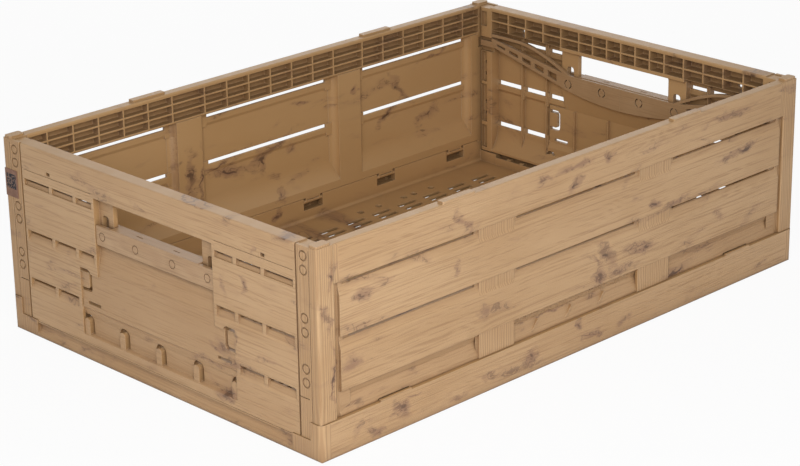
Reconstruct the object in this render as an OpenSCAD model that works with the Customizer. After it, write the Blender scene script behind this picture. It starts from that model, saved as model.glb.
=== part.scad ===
// Folding crate of moulded plastic with a timber-board look.
// Millimetres, +Z up. The origin is at the middle of the underside: X runs
// along the long walls and Y along the end walls.

/* [Crate] */
// Outside length, along the long walls
crate_l = 600; // [580:5:640]
// Outside width, along the end walls
crate_w = 400; // [390:5:430]
// Height of the rims above the ground
rim_z = 178; // [177:1:190]
// Height of the stacking lugs above the rims
lug_h = 2; // [1:0.5:4]
// Gap left between pieces that stand side by side
fit_gap = 0.3; // [0.2:0.05:0.4]

/* [Base tray] */
// Height of the tray's long sides
side_z = 32; // [31.5:0.5:33]
// Height of the load floor above the ground
floor_z = 12; // [11:0.25:12.5]
// Thickness of the load floor
floor_t = 2.2; // [1.8:0.2:3.4]
// Width of the tray's hollow long sides
side_w = 12; // [11:0.5:13]
// Thickness of the tray's skins
tray_skin = 2.4; // [2:0.2:3]
// Height that the inner skins rise above the outer ones
side_step = 2.2; // [1:0.2:3]
// Radius of the tray's outer edges
tray_r = 2.5; // [1:0.5:2.5]
// Radius between the load floor and the long sides
floor_r = 3; // [1:0.5:3]
// Thickness of the ribs under the floor
under_rib = 1.8; // [1.2:0.2:3]
// Spacing of the drain slots along the crate
drain_pitch = 35; // [32:1:42]
// Length of a drain slot
drain_l = 24; // [16:1:26]
// Width of a drain slot
drain_w = 5; // [3:0.5:6]
// Distance between the two drain rows of a pair
drain_gap = 10; // [8:1:14]
// Spacing of the pairs of drain rows across the crate
drain_row_pitch = 58; // [54:1:60]
// Height of the sill under each end wall
end_sill_z = 15.2; // [14.5:0.1:15.4]
// Height of the inner sill that hides the end hinges
inner_sill_z = 19.8; // [18.5:0.1:20.2]
// Depth of the groove along each end sill
end_groove = 3.4; // [2:0.2:4]
// Width of the corner blocks beside the end sills
corner_w = 34; // [30:1:36]
// Height of the corner blocks' inner steps
corner_step_z = 23; // [21.5:0.25:23.4]

/* [Long walls] */
// Thickness of a long wall
lw_t = 10.8; // [10.4:0.2:11.6]
// Distance of a long wall's face behind the tray's side
lw_inset = 1.2; // [0.6:0.2:1.4]
// Thickness of the board skins
skin_t = 3.2; // [3:0.2:4]
// Height of the lower edge of the lowest board
skirt_z = 54.4; // [52:0.2:56]
// Height of the highest board
lw_top_h = 32; // [30:0.5:34]
// Height of the gap below it and of the gap below the middle board
lw_gap_h = 11.8; // [11:0.2:12.2]
// Distance from the crate's middle to the middle of a stile
stile_x = 100; // [90:1:110]
// Width of a stile between the boards
stile_w = 42; // [36:1:46]
// Depth of a stile's face behind the boards
stile_inset = 0.7; // [0.3:0.1:1.5]
// Height of the slot left open in each gap of a long wall
lw_slot_h = 3.2; // [2.4:0.2:4]
// Width of the cheeks that close a gap at its ends
cheek_w = 4; // [2:0.5:8]
// Radius of the hollows beside the stiles and posts
scoop_r = 7.2; // [5:0.2:7.2]
// Width of a corner post
post_w = 18; // [16:0.5:20]
// Width of the groove between a corner post and the boards
post_groove_w = 5; // [3:0.5:6]
// Depth of that groove
post_groove_d = 3; // [2:0.2:3.4]
// Width of the strip that each post turns round the corner
strip_w = 12; // [10:0.5:13]
// Width of the seam between such a strip and an end wall's boards
strip_gap = 2; // [0.4:0.1:2.4]
// Thickness of that strip
strip_t = 2.8; // [2.2:0.2:3.2]
// Diameter of the round marks on the strips
mark_d = 9; // [7:0.5:9.5]
// Width of a stacking lug
lug_w = 37; // [25:1:45]
// Distance from the crate's middle to the middle of a lug
lug_x = 143; // [130:1:160]
// Depth of the stacking lugs across the rim
lug_d = 7; // [5:0.5:8]

/* [Rim lattice] */
// Thickness of the lattice ribs inside the rims
rib_t = 1.6; // [1.2:0.1:2.2]
// Thickness of the top of the rims
rim_top_t = 2.6; // [2:0.2:3.4]
// Height of a row of the long walls' lattice
lw_row_h = 8.6; // [7.5:0.1:8.8]
// Height of a row of the end walls' lattice
ew_row_h = 10.4; // [9:0.1:10.6]

/* [End walls] */
// Thickness of an end wall
ew_t = 14.5; // [14:0.1:14.8]
// Distance of an end wall's face behind the tray's end
ew_inset = 1; // [0.6:0.1:1.2]
// Half the length of the middle panel
panel_y = 100; // [96:1:104]
// Depth of the middle panel behind the boards
panel_inset = 1.5; // [0.5:0.1:2]
// Height of the top of the lowest board
ew_low_z = 44.5; // [44:0.25:46]
// Height of the gaps above the lower boards
ew_gap_h = 11; // [10.8:0.1:11.4]
// Height of the slot left open in each gap of an end wall
ew_slot_h = 3.8; // [3.2:0.2:5]
// Share of the middle board in the height of the middle and upper boards
ew_mid_share = 0.45; // [0.42:0.01:0.46]
// Height of the top rail
ew_rail_h = 31; // [30:0.5:32]
// Height of the gap under the top rail
ew_top_gap = 6; // [5:0.25:7]
// Width of the bars between the gaps
bar_w = 4; // [3:0.5:5]
// Depth of the pocket in the foot of the wall
foot_pocket = 4; // [2.5:0.5:4.5]
// Spacing of the fingers in the foot of the wall
finger_pitch = 48; // [44:1:48]
// Width of a finger
finger_w = 7; // [5:0.5:8]
// Width of the slot round a finger
finger_slot = 3; // [2:0.25:3.5]
// Depth of the fingers' faces behind the boards
finger_inset = 1.2; // [0.6:0.1:1.5]
// Depth of the windows in the side posts
window_d = 4; // [3:0.5:8]

/* [Hand hole] */
// Half the length of the hand hole
hole_y = 57; // [50:1:60]
// Depth of the top of the hand hole below the rim
hole_drop = 26; // [25.5:0.25:28]
// Height of the opening in the wall, which the grip cover half fills
hole_h = 38; // [37:0.25:39]
// Radius of the hand hole's corners
hole_r = 4; // [3:0.5:8]
// Half the length of the recess round the hand hole
recess_y = 75.7; // [74:0.1:77]
// Depth of that recess
recess_d = 6; // [5.2:0.1:6.4]
// Thickness of the wall at the back of the recess
recess_t = 4.5; // [3.6:0.1:4.6]

/* [Hinges] */
// Diameter of the hinge pins
pin_d = 4; // [3.6:0.1:4.2]
// Radial clearance of the hinge pins
pin_gap = 0.08; // [0.04:0.01:0.1]
// Height of the end walls' hinge line
ew_hinge_z = 17; // [16.8:0.1:17.4]
// Distance of the end walls' hinge line from their faces
ew_hinge_d = 10.5; // [10.3:0.1:10.7]
// Spacing of the end walls' hinges
ew_hinge_pitch = 70; // [60:1:72]
// Width of an end wall's hinge arm
arm_w = 12; // [8:0.5:14]
// Thickness of the tray's hinge ears
ear_t = 5; // [3:0.5:7]
// Height of the long walls' hinge line
lw_hinge_z = 30.1; // [29.9:0.1:30.2]
// Distance of the long walls' hinge line from their inner plane
lw_hinge_d = 2.4; // [2.3:0.1:2.6]
// Spacing of the long walls' hinges
lw_hinge_pitch = 99; // [90:1:104]
// Width of a pocket for a long wall's hinge
pocket_w = 25; // [20:1:30]
// Height of the floor of such a pocket
pocket_z = 22; // [20:0.5:23.5]

/* [Lift lock] */
// Thickness of the grip cover
cover_t = 3; // [2.4:0.1:3.4]
// Depth of the grip cover behind the end wall's face
cover_inset = 1; // [0.4:0.1:1.2]
// Height of the grip cover's face
cover_h = 17.5; // [16:0.25:18]
// Depth of the grip cover's lower edge below the rim
cover_drop = 67.2; // [66.5:0.1:67.5]
// Diameter of the pegs that join cover and bow
peg_d = 7; // [6:0.25:7.4]
// Distance of the outer pegs from the middle
outer_peg_y = 67.5; // [66:0.25:68]
// Distance of the inner pegs from the middle
inner_peg_y = 23.7; // [15:0.5:30]
// Thickness of the spring bow
bow_t = 3.2; // [2.6:0.1:3.3]
// Depth of the bow's lowest edge below the rim
bow_drop = 72.5; // [71:0.25:74]
// Thickness of the bow's leaf springs
leaf_t = 3; // [1.6:0.1:3.2]
// Depth of the leaf springs' tops below the rim
leaf_drop = 27; // [26.5:0.25:29]
// Travel of the grip when it is lifted
lift = 9; // [6:0.5:10]

/* [Label] */
// Width of the data label
label_w = 17; // [12:0.5:18]
// Height of the data label
label_h = 25; // [15:0.5:28]
// Thickness of the data label
label_t = 0.5; // [0.3:0.1:1]
// Depth of the middle of the data label below the rim
label_drop = 40; // [38:0.5:44]

/* [Hidden] */
$fn = 48;
// Overlap that joins shapes of one piece
weld = 0.2;
// Reach of a cut past the surface it opens
past = 1;

half_l = crate_l / 2;
half_w = crate_w / 2;

// Long wall: y of its faces, and x of the ends of its boards
lw_out_y = half_w - lw_inset;
lw_in_y = lw_out_y - lw_t;
ew_out_x = half_l - ew_inset;
post_x = ew_out_x - post_w;
board_x = post_x - post_groove_w;
inner_post_x = post_x - 9;
seam_z = side_z + fit_gap;
inner_seam_z = side_z + side_step + fit_gap;
lw_sill_in = 1.9;
ew_sill_in = 2.4;
sill_t = 2.6;
lw_sill_rise = lw_gap_h - lw_slot_h - sill_t / 2;
ew_sill_rise = ew_gap_h - ew_slot_h - sill_t / 2;
lw_top_z = rim_z - lw_top_h;
lw_board_h = (lw_top_z - skirt_z) / 2 - lw_gap_h;
lw_band_z = rim_z - rim_top_t - 3 * lw_row_h - rib_t;
flare_z = skirt_z + 9.6;
flare_drop = 22;
lw_reach = lw_t - skin_t;
lw_flare_r = (pow(lw_reach, 2) + pow(flare_drop, 2)) / (2 * lw_reach);
tab_x = 218;
tab_w = 34;
tab_h = 1.5;
mark_cut = 1.2;

// End wall: x and y of its edges, and heights of its boards
ew_in_x = ew_out_x - ew_t;
ew_side_y = lw_in_y - fit_gap;
strip_y = lw_in_y - strip_w;
ew_board_y = strip_y - strip_gap;
ew_skin = 3;
rebate_d = strip_t + fit_gap;
gap_end_y = strip_y - 4.5;
ew_foot_z = end_sill_z + fit_gap;
block_z = 16.5;
ew_rail_z = rim_z - ew_rail_h;
ew_up_top = ew_rail_z - ew_top_gap;
ew_mid_z = ew_low_z + ew_gap_h;
ew_mid_h = ew_mid_share * (ew_up_top - ew_mid_z - ew_gap_h);
ew_mid_top = ew_mid_z + ew_mid_h;
ew_up_z = ew_mid_top + ew_gap_h;
ew_band_z = rim_z - rim_top_t - 2 * ew_row_h;
ew_heel_z = corner_step_z + 1.5;
web_t = 2.4;
web_top_z = ew_low_z + 5.5;
panel_back = panel_inset + 3.2;
web_reach = ew_t - 0.5 - panel_back;
web_drop = 23;
web_r = (pow(web_reach, 2) + pow(web_drop, 2)) / (2 * web_reach);
foot_d = 6;
bar_ys = [panel_y + 2.5, panel_y + 35.5];
ledge_z = ew_foot_z + 7.2;
hole_top_z = rim_z - hole_drop;
hole_low_z = hole_top_z - hole_h;
cover_z = rim_z - cover_drop;
recess_z = cover_z - 0.5;
recess_back = recess_d + recess_t;

// Hinges
pin_r = pin_d / 2;
bore_r = pin_r + pin_gap;
ew_hinge_x = ew_out_x - ew_hinge_d;
ear_r = ew_hinge_d - foot_d - fit_gap;
lw_hinge_y = lw_in_y + lw_hinge_d;
lw_ear_w = 6;
lw_ear_reach = pin_r + 2.6;
lip_d = 4;
skin_top_r = 1;
hinge_ends = [-2, -1, 0, 1, 2];
hinge_sides = [-2.5, -1.5, -0.5, 0.5, 1.5, 2.5];

// Lift lock
bow_front = ew_t - 0.1 - bow_t;
peg_z = cover_z + 8.5;
peg_ys = [outer_peg_y, inner_peg_y];
bow_top_z = cover_z + cover_h;
bow_z = rim_z - bow_drop;
arm_y = recess_y;
arm_end_y = gap_end_y - fit_gap;
tip_z = rim_z - 35.5;
tip_h = 6;
leaf_z = rim_z - leaf_drop;
leaf_start = hole_y + 7;
leaf_peak = arm_end_y - 31;

// Both halves of what is the same on either side
module both_x() {
    children();
    mirror([1, 0, 0]) children();
}

module both_y() {
    children();
    mirror([0, 1, 0]) children();
}

// Box between two corners
module span(low, high) {
    translate(low) cube(high - low);
}

// Rectangle with round corners, between two corners
module round_rect(low, high, r) {
    translate([low[0] + r, low[1]]) square([high[0] - low[0] - 2 * r, high[1] - low[1]]);
    translate([low[0], low[1] + r]) square([high[0] - low[0], high[1] - low[1] - 2 * r]);
    for (x = [low[0] + r, high[0] - r], y = [low[1] + r, high[1] - r])
        translate([x, y]) circle(r);
}

// Section in (depth, height), run along X on the front wall
module run_x(from, to, face) {
    translate([from, -face, 0]) rotate([90, 0, 90]) linear_extrude(to - from) children();
}

// Section in (depth, height), run along Y on the left wall
module run_y(from, to, face) {
    translate([-face, to, 0]) rotate([90, 0, 0]) linear_extrude(to - from) children();
}

// Outline in (x, height), cut or raised through the front wall
module through_front(from, to) {
    translate([0, -lw_out_y + to, 0]) rotate([90, 0, 0]) linear_extrude(to - from) children();
}

// Outline in (y, height), cut or raised through the left wall
module through_left(from, to) {
    translate([-ew_out_x + from, 0, 0]) rotate([90, 0, 90]) linear_extrude(to - from) children();
}

// Box on the front wall: x, depth and height ranges
module front_box(x, d, z) {
    span([x[0], -lw_out_y + d[0], z[0]], [x[1], -lw_out_y + d[1], z[1]]);
}

// Box on the left wall: depth, y and height ranges
module left_box(d, y, z) {
    span([-ew_out_x + d[0], y[0], z[0]], [-ew_out_x + d[1], y[1], z[1]]);
}

// Section of a board with the sloped sill above it
module board_section(low, high, skin, inset, rise) {
    polygon([[0, low], [0, high], [inset, high + rise], [inset + sill_t, high + rise],
             [inset + sill_t, high + rise - 4], [skin, high + rise - 7], [skin, low]]);
    translate([inset + sill_t / 2, high + rise]) circle(sill_t / 2);
}

// Ring that a round mark leaves in a face
module ring(r, wide) {
    difference() {
        circle(r);
        circle(r - wide);
    }
}

// Base tray

// Outer form of the tray, with its rounded edges
module tray_envelope() {
    tall = side_z + side_step + tab_h;
    intersection() {
        linear_extrude(tall) round_rect([-half_l, -half_w], [half_l, half_w], 2 * tray_r);
        run_x(-half_l, half_l, half_w) round_rect([0, 0], [crate_w, tall + 2 * tray_r], tray_r);
        run_y(-half_w, half_w, half_l) round_rect([0, 0], [crate_l, tall + 2 * tray_r], tray_r);
    }
}

// Section of a long side: a channel that is open downwards
module tray_side_section() {
    square([tray_skin, side_z]);
    translate([0, side_z - tray_skin]) square([side_w, tray_skin]);
    // Inner skin, round at the top so that the wall's foot turns over it
    top = side_z + side_step;
    translate([side_w - tray_skin, floor_z - floor_t])
        square([tray_skin, top - skin_top_r - floor_z + floor_t]);
    translate([side_w - tray_skin, top - skin_top_r - weld])
        square([tray_skin - skin_top_r, skin_top_r + weld]);
    translate([side_w - skin_top_r, top - skin_top_r]) circle(skin_top_r);
    difference() {
        translate([side_w - weld, floor_z - weld]) square(floor_r + weld);
        translate([side_w + floor_r, floor_z + floor_r]) circle(floor_r);
    }
}

// Section of an end sill, with the groove along its face
module end_sill_section() {
    back = ew_inset + foot_d - fit_gap;
    polygon([[0, 0], [back, 0], [back, end_sill_z], [0.8, end_sill_z], [0.8, 14],
             [end_groove, 13], [end_groove, 9], [0.6, 3.4], [0, 3.4]]);
}

module tray_side() {
    run_x(-half_l, half_l, half_w) tray_side_section();
    // Raised tabs on the outer edge
    both_x() span([tab_x - tab_w / 2, -half_w, side_z - weld],
                  [tab_x + tab_w / 2, -half_w + tray_skin, side_z + tab_h]);
    // Blocks that become the ears for the long wall's hinge pins
    for (k = hinge_sides) translate([k * lw_hinge_pitch, 0, 0]) {
        ear_x = pocket_w / 2 + lw_ear_w;
        span([-ear_x, -lw_hinge_y - lw_ear_reach, floor_z - floor_t], [ear_x, -lw_in_y, side_z]);
        span([-ear_x, -lw_out_y + lip_d + fit_gap, side_z - weld],
             [ear_x, -lw_in_y - skin_top_r, side_z + side_step]);
    }
}

module tray_side_cuts() {
    for (k = hinge_sides) translate([k * lw_hinge_pitch, 0, 0]) {
        span([-pocket_w / 2, -lw_hinge_y - lw_ear_reach - past, pocket_z],
             [pocket_w / 2, -lw_in_y + past, side_z + side_step + past]);
        translate([0, -lw_hinge_y, lw_hinge_z]) rotate([0, 90, 0])
            cylinder(h = pocket_w + 8, r = bore_r, center = true);
    }
    // Level seats for the corner posts
    both_x() span([post_x - fit_gap, -half_w - past, side_z],
                  [half_l + past, -lw_in_y + past, side_z + side_step + past]);
}

module tray_end() {
    sill_y = half_w - corner_w;
    run_y(-sill_y - weld, sill_y + weld, half_l) end_sill_section();
    // Inner sill
    span([-ew_hinge_x + ear_r - 1.3, -sill_y - weld, floor_z - floor_t],
         [-ew_hinge_x + ear_r + 0.1, sill_y + weld, inner_sill_z]);
    // Ears that carry the end wall's hinge pins
    for (k = hinge_ends, s = [-1, 1])
        translate([-ew_hinge_x, k * ew_hinge_pitch + s * (arm_w / 2 + fit_gap + ear_t / 2), 0]) {
            span([-3.4, -ear_t / 2, floor_z - floor_t], [3.4, ear_t / 2, ew_hinge_z]);
            translate([0, 0, ew_hinge_z]) rotate([90, 0, 0])
                cylinder(h = ear_t, r = ear_r, center = true);
        }
}

module tray_end_cuts() {
    for (k = hinge_ends)
        translate([-ew_hinge_x, k * ew_hinge_pitch, ew_hinge_z]) rotate([90, 0, 0])
            cylinder(h = arm_w + 2 * ear_t + 2, r = bore_r, center = true);
}

module tray_corner() {
    inner_x = ew_hinge_x - 3.5;
    strip_back = ew_out_x - strip_t;
    post_side_y = lw_in_y - 1 + fit_gap;
    low_y = half_w - corner_w;
    step_x = ew_hinge_x + sqrt(pow(ear_r + 3, 2) - pow(corner_step_z - ew_hinge_z, 2));
    span([-half_l, -half_w, 0], [-strip_back, -post_side_y, side_z]);
    span([-half_l, -post_side_y - weld, 0], [-inner_x, -low_y, block_z]);
    // Step under the end wall's side post, and a lower one that clears its boards as they fold
    span([-strip_back + fit_gap, -lw_in_y - weld, 0], [-inner_x, -strip_y, corner_step_z]);
    span([-step_x, -strip_y - weld, 0], [-inner_x, -low_y, corner_step_z]);
}

module tray_floor() {
    ribs_x = floor((half_l - 20) / drain_pitch - 0.5);
    end_x = half_l - 5;
    span([-end_x, -half_w + 1, floor_z - floor_t], [end_x, half_w - 1, floor_z]);
    // Ribs across the underside and through the hollow sides
    for (k = [-ribs_x - 1:ribs_x]) translate([(k + 0.5) * drain_pitch - under_rib / 2, 0, 0]) {
        span([0, -half_w + 1, 0], [under_rib, half_w - 1, floor_z - weld]);
        both_y() span([0, -half_w + 1, 0], [under_rib, -half_w + side_w - 1, side_z - weld]);
    }
    // Ribs along the underside
    for (k = [-3:3])
        span([-end_x, k * drain_row_pitch - under_rib / 2, 0],
             [end_x, k * drain_row_pitch + under_rib / 2, floor_z - weld]);
    // Boss at the moulding gate
    cylinder(h = floor_z - weld, r = 12);
}

module drain_slots() {
    slots = floor((half_l - 30 - drain_l / 2) / drain_pitch);
    for (row = [-2.5:1:2.5], side = [-1, 1], k = [-slots:slots])
        translate([k * drain_pitch, row * drain_row_pitch + side * drain_gap / 2, floor_z])
            cube([drain_l, drain_w, 3 * floor_t], center = true);
}

// Short round drains near the long sides
module drain_holes() {
    for (k = [2.6, 3.3, 4.3, 4.7, 5.4]) both_x() both_y()
        translate([k * drain_pitch, half_w - corner_w - 1, floor_z - floor_t - past])
            cylinder(h = floor_t + 2 * past, r = 3.5);
}

module base_tray() {
    color("#b08a60") intersection() {
        tray_envelope();
        difference() {
            union() {
                tray_floor();
                both_y() tray_side();
                both_x() tray_end();
                both_x() both_y() tray_corner();
            }
            both_y() tray_side_cuts();
            both_x() tray_end_cuts();
            drain_slots();
            drain_holes();
        }
    }
}

// Long walls

// Foot of a long wall: a recess outside, and a flare inside
module skirt_section() {
    difference() {
        polygon([[0, flare_z], [0, skirt_z], [3.2, skirt_z - 1.6], [5.4, skirt_z - 8],
                 [2.2, seam_z + 1.5], [2.2, seam_z], [lip_d, seam_z], [lip_d, inner_seam_z],
                 [lw_t, inner_seam_z], [lw_t, flare_z]]);
        translate([skin_t + lw_flare_r, flare_z]) circle(lw_flare_r, $fn = 180);
    }
}

// Rim band of a long wall, before its lattice is cut
module lw_band() {
    run_x(-post_x - weld, post_x + weld, lw_out_y) {
        translate([0, lw_top_z]) square([skin_t, rim_z - lw_top_z - 2]);
        round_rect([0, lw_band_z], [lw_t, rim_z], 1.5);
    }
}

// Places of the upright ribs of the long walls' lattice
function lw_rib_xs() = let (inner = stile_x - stile_w / 2 + 2, outer = stile_x + stile_w / 2 - 1.5)
    concat([for (k = [0:3]) k * inner / 3], [for (k = [0:5]) outer + k * (post_x - 21 - outer) / 5],
           [post_x + 3]);

module lw_lattice_cuts() {
    xs = lw_rib_xs();
    for (row = [0:2], k = [0:len(xs) - 2]) {
        low = rim_z - rim_top_t - (row + 1) * lw_row_h + rib_t / 2;
        both_x() front_box([xs[k] + rib_t / 2, xs[k + 1] - rib_t / 2], [skin_t, lw_t + past],
                           [low, low + lw_row_h - rib_t]);
    }
}

// Cheeks that close both gaps of a long wall between two places
module cheeks(from, to) {
    for (k = [0, 1]) {
        low = skirt_z + lw_board_h + k * (lw_board_h + lw_gap_h);
        front_box([from, to], [lw_sill_in, lw_sill_in + sill_t], [low - weld, low + lw_gap_h + weld]);
    }
}

// One stile: flush outside, and with hollowed sides inside
module stile() {
    inner_w = stile_w + 2;
    front_box([stile_x - stile_w / 2, stile_x + stile_w / 2], [stile_inset, skin_t + weld],
              [seam_z, lw_top_z + weld]);
    intersection() {
        translate([stile_x + 1, -lw_out_y, seam_z]) linear_extrude(lw_band_z - seam_z + weld)
            difference() {
                translate([-inner_w / 2, skin_t - weld]) square([inner_w, lw_t - skin_t + weld]);
                for (s = [-1, 1]) translate([s * inner_w / 2, lw_t]) circle(scoop_r);
            }
        through_front(0, lw_t)
            round_rect([stile_x + 1 - inner_w / 2, inner_seam_z],
                       [stile_x + 1 + inner_w / 2, lw_band_z + 5], 9);
    }
    cheeks(stile_x - stile_w / 2 - cheek_w, stile_x + stile_w / 2 + cheek_w);
}

// Corner post with the strip that turns round the corner
module corner_post() {
    translate([0, -lw_out_y, seam_z]) linear_extrude(rim_z - seam_z) {
        round_rect([post_x, 0], [ew_out_x, lw_t], 1.5);
        translate([ew_out_x - strip_t, lw_t - 3]) square([strip_t, strip_w + 3]);
    }
    // Inner post, behind the groove
    translate([0, -lw_out_y, inner_seam_z]) linear_extrude(lw_band_z + weld - inner_seam_z)
        difference() {
            translate([inner_post_x - scoop_r, post_groove_d])
                square([post_x - inner_post_x + scoop_r + 2, lw_t - post_groove_d]);
            translate([inner_post_x - scoop_r, lw_t]) circle(scoop_r);
        }
    front_box([board_x, post_x + weld], [post_groove_d, skin_t + 1], [seam_z, rim_z]);
    cheeks(board_x - cheek_w, board_x + weld);
    // Tongue that reaches down outside the tray's corner
    span([ew_out_x - strip_t, -lw_in_y + 1, block_z + fit_gap],
         [ew_out_x, -strip_y, seam_z + weld]);
    // Corner lug
    translate([0, -lw_out_y, rim_z - weld]) linear_extrude(lug_h + weld)
        round_rect([post_x + 2, 0.8], [ew_out_x - 0.8, lw_t - 0.8], 2);
}

// Strap and pin of a long wall's hinge
module lw_hinge() {
    strap_w = pocket_w - 6;
    translate([0, -lw_hinge_y, lw_hinge_z]) rotate([0, 90, 0])
        cylinder(h = pocket_w + 6, r = pin_r, center = true);
    span([-strap_w / 2, -lw_hinge_y - pin_r, lw_hinge_z], [strap_w / 2, -lw_in_y - 0.2, inner_seam_z + weld]);
}

module long_wall() {
    difference() {
        union() {
            run_x(-board_x, board_x, lw_out_y) {
                skirt_section();
                for (k = [0, 1]) {
                    low = skirt_z + k * (lw_board_h + lw_gap_h);
                    board_section(low, low + lw_board_h, skin_t, lw_sill_in, lw_sill_rise);
                }
            }
            lw_band();
            both_x() stile();
            both_x() corner_post();
            for (k = hinge_sides) translate([k * lw_hinge_pitch, 0, 0]) lw_hinge();
            // Lugs on the rim
            both_x() translate([lug_x, -lw_out_y, rim_z - weld]) linear_extrude(lug_h + weld)
                round_rect([-lug_w / 2, 0.6], [lug_w / 2, 0.6 + lug_d], 1);
            // Short ribs across the recess of the middle bay
            for (k = [-1:1]) translate([k * 42 - 9, -lw_out_y + 4.2, seam_z + 8])
                rotate([0, 40, 0]) cube([1.4, 3.6, 12], center = true);
        }
        lw_lattice_cuts();
        // Pocket that takes the spring bow's tip
        both_x() front_box([ew_in_x - 1.5, ew_out_x - 8.5], [lw_t - 3, lw_t + past],
                           [tip_z - tip_h - 2.5, tip_z + 2.5]);
        // Grooves across the hinge straps
        for (k = hinge_sides) translate([k * lw_hinge_pitch, 0, 0])
            span([-pocket_w / 2 + 5, -lw_in_y - 1.2, lw_hinge_z + 1.3],
                 [pocket_w / 2 - 5, -lw_in_y + past, lw_hinge_z + 2.5]);
        // Notches over the tray's tabs
        both_x() front_box([tab_x - tab_w / 2 - fit_gap, tab_x + tab_w / 2 + fit_gap],
                           [-past, lip_d + weld], [seam_z - past, seam_z + tab_h]);
        // Round marks and the line across each strip
        both_x() translate([ew_out_x - mark_cut, 0, 0]) rotate([90, 0, 90]) linear_extrude(past + mark_cut) {
            for (pair = [0:2], s = [-1, 1])
                translate([-strip_y - strip_w * 0.62, mark_z(pair) + s * 5.9])
                    ring(mark_d / 2, 1.4);
            translate([-strip_y - strip_w + 1, 50.6]) square([strip_w, 0.8]);
            translate([-lw_in_y - 2, seam_z]) square([0.7, rim_z - seam_z - 3]);
        }
    }
}

// Height of each pair of round marks
function mark_z(pair) = rim_z - 14 - [0, 0.354, 0.645][pair] * (rim_z - seam_z);

module long_wall_front() {
    color("#c39a6b") long_wall();
}

module long_wall_back() {
    color("#c39a6b") mirror([0, 1, 0]) long_wall();
}

// End walls

// Section of the middle panel, from its foot to the slope under the grip
module panel_section() {
    polygon([[0, ew_foot_z], [0, ledge_z], [foot_pocket, ledge_z + 1.5], [foot_pocket, ew_low_z + 0.5],
             [panel_inset, ew_low_z + 3.5], [panel_inset, ew_mid_top], [panel_back, ew_mid_top],
             [panel_back, web_top_z], [foot_pocket + 3, ew_low_z], [foot_pocket + 3, ledge_z],
             [foot_d, ledge_z - 1], [foot_d, ew_foot_z]]);
}

// Section of the slope that leads from the panel into the recess
module slope_section() {
    polygon([[panel_inset, ew_mid_top - weld], [recess_d, recess_z], [recess_back, recess_z],
             [panel_back, ew_mid_top - weld]]);
}

// Curved web inside the foot of the wall
module foot_web_section() {
    intersection() {
        translate([panel_back + web_r, web_top_z]) difference() {
            circle(web_r + web_t, $fn = 180);
            circle(web_r, $fn = 180);
        }
        translate([1, ew_heel_z]) square([ew_t - 1.5, web_top_z - ew_heel_z]);
    }
}

// Boards beside the middle panel, on one side
module side_boards() {
    run_y(panel_y - weld, ew_board_y, ew_out_x) {
        translate([0, block_z + fit_gap]) square([ew_skin, ew_low_z - block_z - fit_gap]);
        translate([0, ew_mid_z]) square([ew_skin, ew_mid_h]);
    }
    run_y(panel_y - weld, half_w - corner_w - fit_gap, ew_out_x)
        translate([0, ew_foot_z]) square([foot_d, ledge_z - ew_foot_z]);
    run_y(recess_y, gap_end_y + weld, ew_out_x) {
        board_section(ew_mid_top - 8, ew_mid_top, ew_skin, ew_sill_in, ew_sill_rise);
        board_section(ew_up_z, ew_up_top - 4, ew_skin, ew_sill_in, ew_sill_rise);
        translate([0, ew_up_top - 4.2]) square([ew_skin, 4.2]);
        translate([0, ew_rail_z]) square([ew_skin, ew_band_z + weld - ew_rail_z]);
    }
    run_y(panel_y - weld, gap_end_y + weld, ew_out_x)
        board_section(ew_low_z - 8, ew_low_z, ew_skin, ew_sill_in, ew_sill_rise);
    left_box([0, ew_skin], [gap_end_y, ew_board_y], [block_z + fit_gap, rim_z - 2]);
    // Bars across the gaps
    for (y = bar_ys, z = [ew_low_z, ew_mid_top, ew_up_top])
        left_box([0.4, 6.6], [y - bar_w / 2, y + bar_w / 2], [z - 2, z + ew_gap_h + 1]);
}

// Post at the side of an end wall, with its windows
module side_post() {
    difference() {
        left_box([rebate_d, ew_t], [gap_end_y, ew_side_y], [ew_heel_z, rim_z - 1]);
        for (w = [[ew_band_z + 3, rim_z - 5], [ew_up_z - 1, tip_z - tip_h - 5.5],
                  [ew_mid_z + 0.5, ew_up_z - 4], [ew_heel_z + 3.5, ew_mid_z - 3.5]])
            left_box([ew_t - window_d, ew_t + past], [strip_y + 2, ew_side_y - 2.2], w);
        for (pair = [1, 2], s = [-1, 1])
            translate([-ew_out_x, strip_y + 5.5, mark_z(pair) + s * 6]) rotate([0, 90, 0])
                cylinder(h = ew_t, r = 2.2);
        // Way through for the bow's tip
        left_box([bow_front - 1, ew_t + past], [gap_end_y - past, ew_side_y + past],
                 [tip_z - tip_h - 5, tip_z + 4]);
        // Bevel that clears the tray when folded
        translate([-ew_in_x, ew_side_y, ew_heel_z - past]) rotate([0, 0, 45])
            translate([-1.6, -1.6, 0]) cube([3.2, 3.2, rim_z]);
    }
}

// Places of the upright ribs of the end walls' lattice
function ew_rib_ys() = let (inner = 54) concat([for (k = [0:3]) k * inner / 3],
    [for (k = [1:5]) inner + k * (gap_end_y + 0.5 - inner) / 5]);

module ew_lattice_cuts() {
    ys = ew_rib_ys();
    for (row = [0, 1], k = [0:len(ys) - 2]) {
        low = rim_z - rim_top_t - (row + 1) * ew_row_h + rib_t / 2;
        both_y() left_box([ew_skin, ew_t + past], [ys[k] + rib_t / 2, ys[k + 1] - rib_t / 2],
                          [low, low + ew_row_h - rib_t]);
    }
}

// Outline of an upright finger with a round top
module finger_outline(half, low) {
    top = ew_low_z - 3.5 - finger_w / 2 - finger_slot;
    translate([-half, low]) square([2 * half, top - low]);
    translate([0, top]) circle(half);
}

// Slot round one finger in the foot
module finger_cut() {
    difference() {
        finger_outline(finger_w / 2 + finger_slot, ledge_z + 1.5);
        finger_outline(finger_w / 2, ledge_z);
    }
}

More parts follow.
